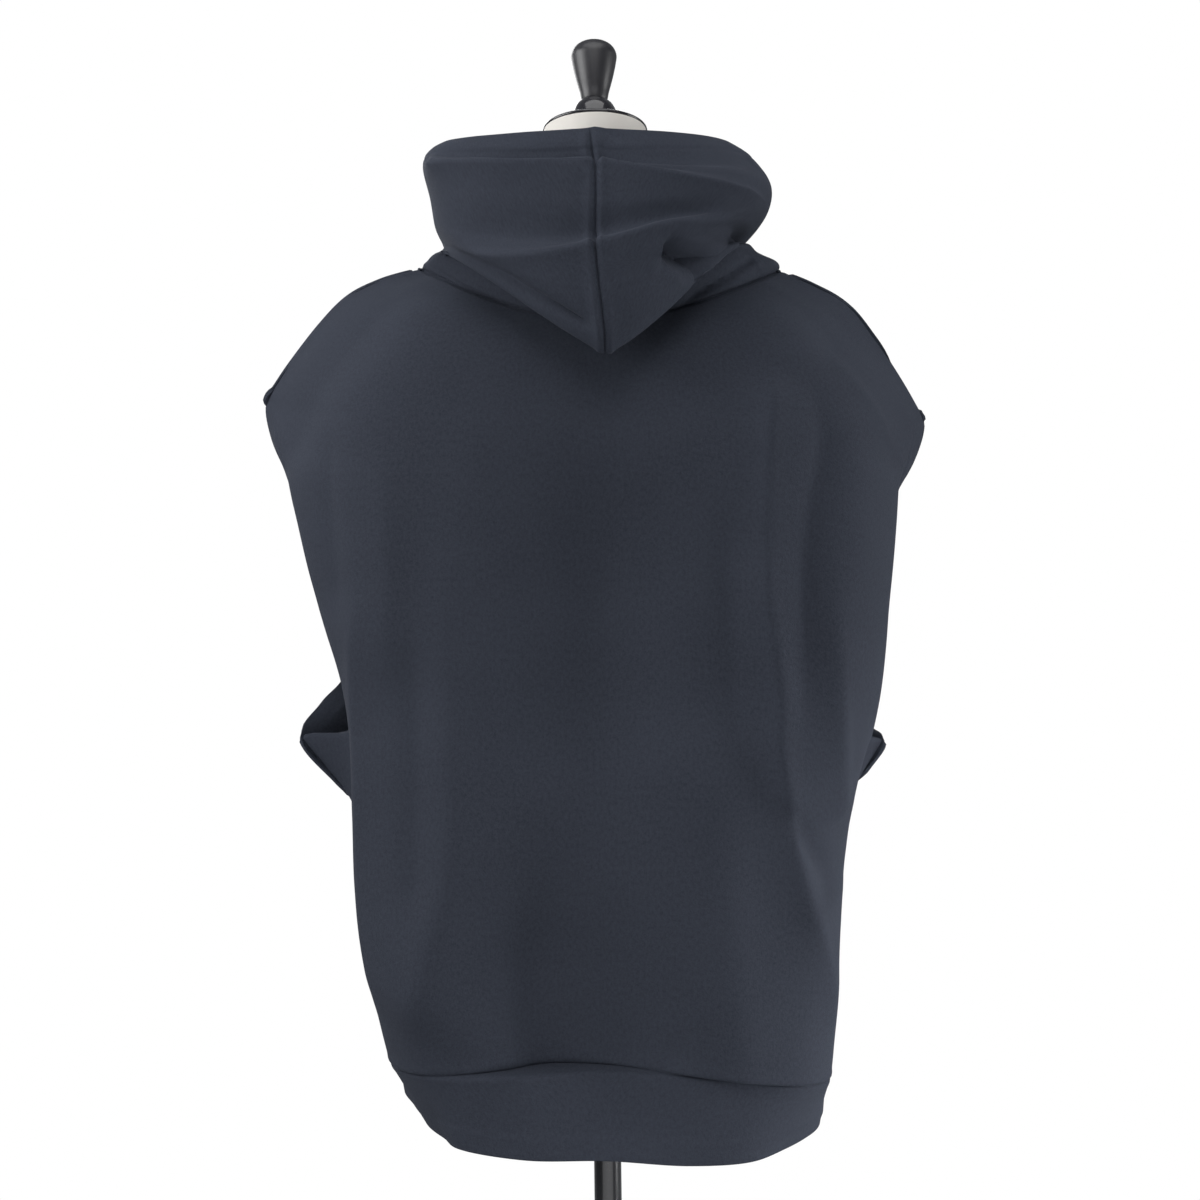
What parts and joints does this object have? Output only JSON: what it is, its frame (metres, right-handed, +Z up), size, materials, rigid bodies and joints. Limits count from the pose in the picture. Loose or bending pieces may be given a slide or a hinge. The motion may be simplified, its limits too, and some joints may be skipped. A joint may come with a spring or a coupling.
{
  "type": "sleeveless hoodie on a dress form",
  "caption": "Oversized dark sleeveless hoodie with a lowered hood and wide dropped shoulders, worn by a limbless dress form on a round stand.",
  "frame": {"origin": "centre of the stand's round base on its underside, on the floor", "axes": "+Z up the pole to the knob, -Y to the garment's front, +X to the wearer's left, so the hood hangs towards +Y"},
  "size_m": [0.609, 0.372, 1.3918],
  "materials": {
    "jersey": "matt, fine double-knit jersey, smooth face",
    "form_cover": "matt, stretched off-white jersey",
    "lacquer": "turned wood, black satin lacquer",
    "black_steel": "gloss black"
  },
  "bodies": {
    "root": {"back_panel": "jersey", "front_panel": "jersey", "hood_left": "jersey", "hood_right": "jersey", "hem_band": "jersey", "form_torso": "form_cover", "neck_cap": "lacquer", "finial": "lacquer", "pole_socket": "black_steel", "pole": "black_steel", "base": "black_steel"}
  },
  "joints": []
}
